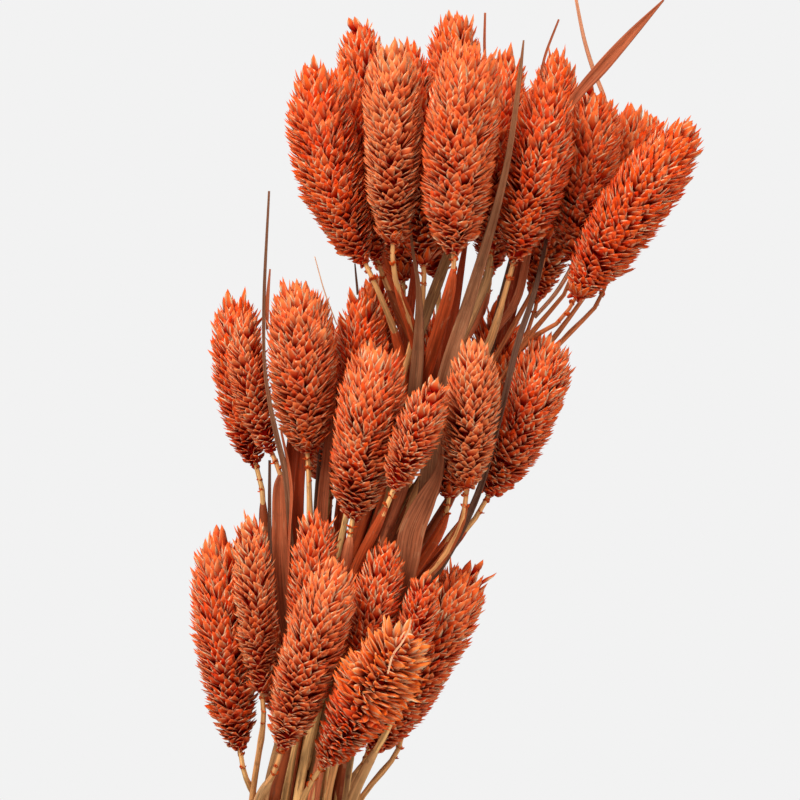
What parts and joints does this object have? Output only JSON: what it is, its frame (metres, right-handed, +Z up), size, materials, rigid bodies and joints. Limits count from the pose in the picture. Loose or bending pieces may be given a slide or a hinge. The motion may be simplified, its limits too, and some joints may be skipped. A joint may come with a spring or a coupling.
{
  "type": "vase of dried canary grass",
  "caption": "Dyed dried canary grass in staggered tiers of scaly seed heads on thin stems, leaning in a plain narrow-necked vase.",
  "frame": {"origin": "centre of the vase's flat foot, on the surface it stands on", "axes": "+Z up along the vase's axis, front of the bunch towards -Y, the bunch leans towards +X"},
  "size_m": [0.1183, 0.0806, 0.3181],
  "materials": {
    "floret": "dry dyed chaff, orange with straw coloured edges",
    "straw": "dry straw, matt",
    "blade": "dry reddish brown leaf, matt",
    "glaze": "matt off-white stoneware"
  },
  "bodies": {
    "root": {"vase": "glaze", "stems_top": "straw", "stems_middle": "straw", "stems_lower": "straw", "head_top_01": "floret", "head_top_02": "floret", "head_top_03": "floret", "head_top_04": "floret", "head_top_05": "floret", "head_top_06": "floret", "head_top_07": "floret", "head_top_08": "floret", "head_top_09": "floret", "head_top_10": "floret", "head_top_11": "floret", "head_top_12": "floret", "head_top_13": "floret", "head_top_14": "floret", "head_top_15": "floret", "head_top_16": "floret", "head_top_17": "floret", "head_top_18": "floret", "head_top_19": "floret", "head_middle_01": "floret", "head_middle_02": "floret", "head_middle_03": "floret", "head_middle_04": "floret", "head_middle_05": "floret", "head_middle_06": "floret", "head_middle_07": "floret", "head_middle_08": "floret", "head_middle_09": "floret", "head_middle_10": "floret", "head_middle_11": "floret", "head_middle_12": "floret", "head_middle_13": "floret", "head_middle_14": "floret", "head_middle_15": "floret", "head_middle_16": "floret", "head_lower_01": "floret", "head_lower_02": "floret", "head_lower_03": "floret", "head_lower_04": "floret", "head_lower_05": "floret", "head_lower_06": "floret", "head_lower_07": "floret", "head_lower_08": "floret", "head_lower_09": "floret", "head_lower_10": "floret", "head_lower_11": "floret", "head_lower_12": "floret", "leaf_long": "blade", "leaf_folded": "blade", "leaf_left": "blade", "leaf_sheath": "blade", "leaf_point": "blade", "leaf_dark": "blade", "leaf_right": "blade", "leaf_curl": "blade"}
  },
  "joints": []
}
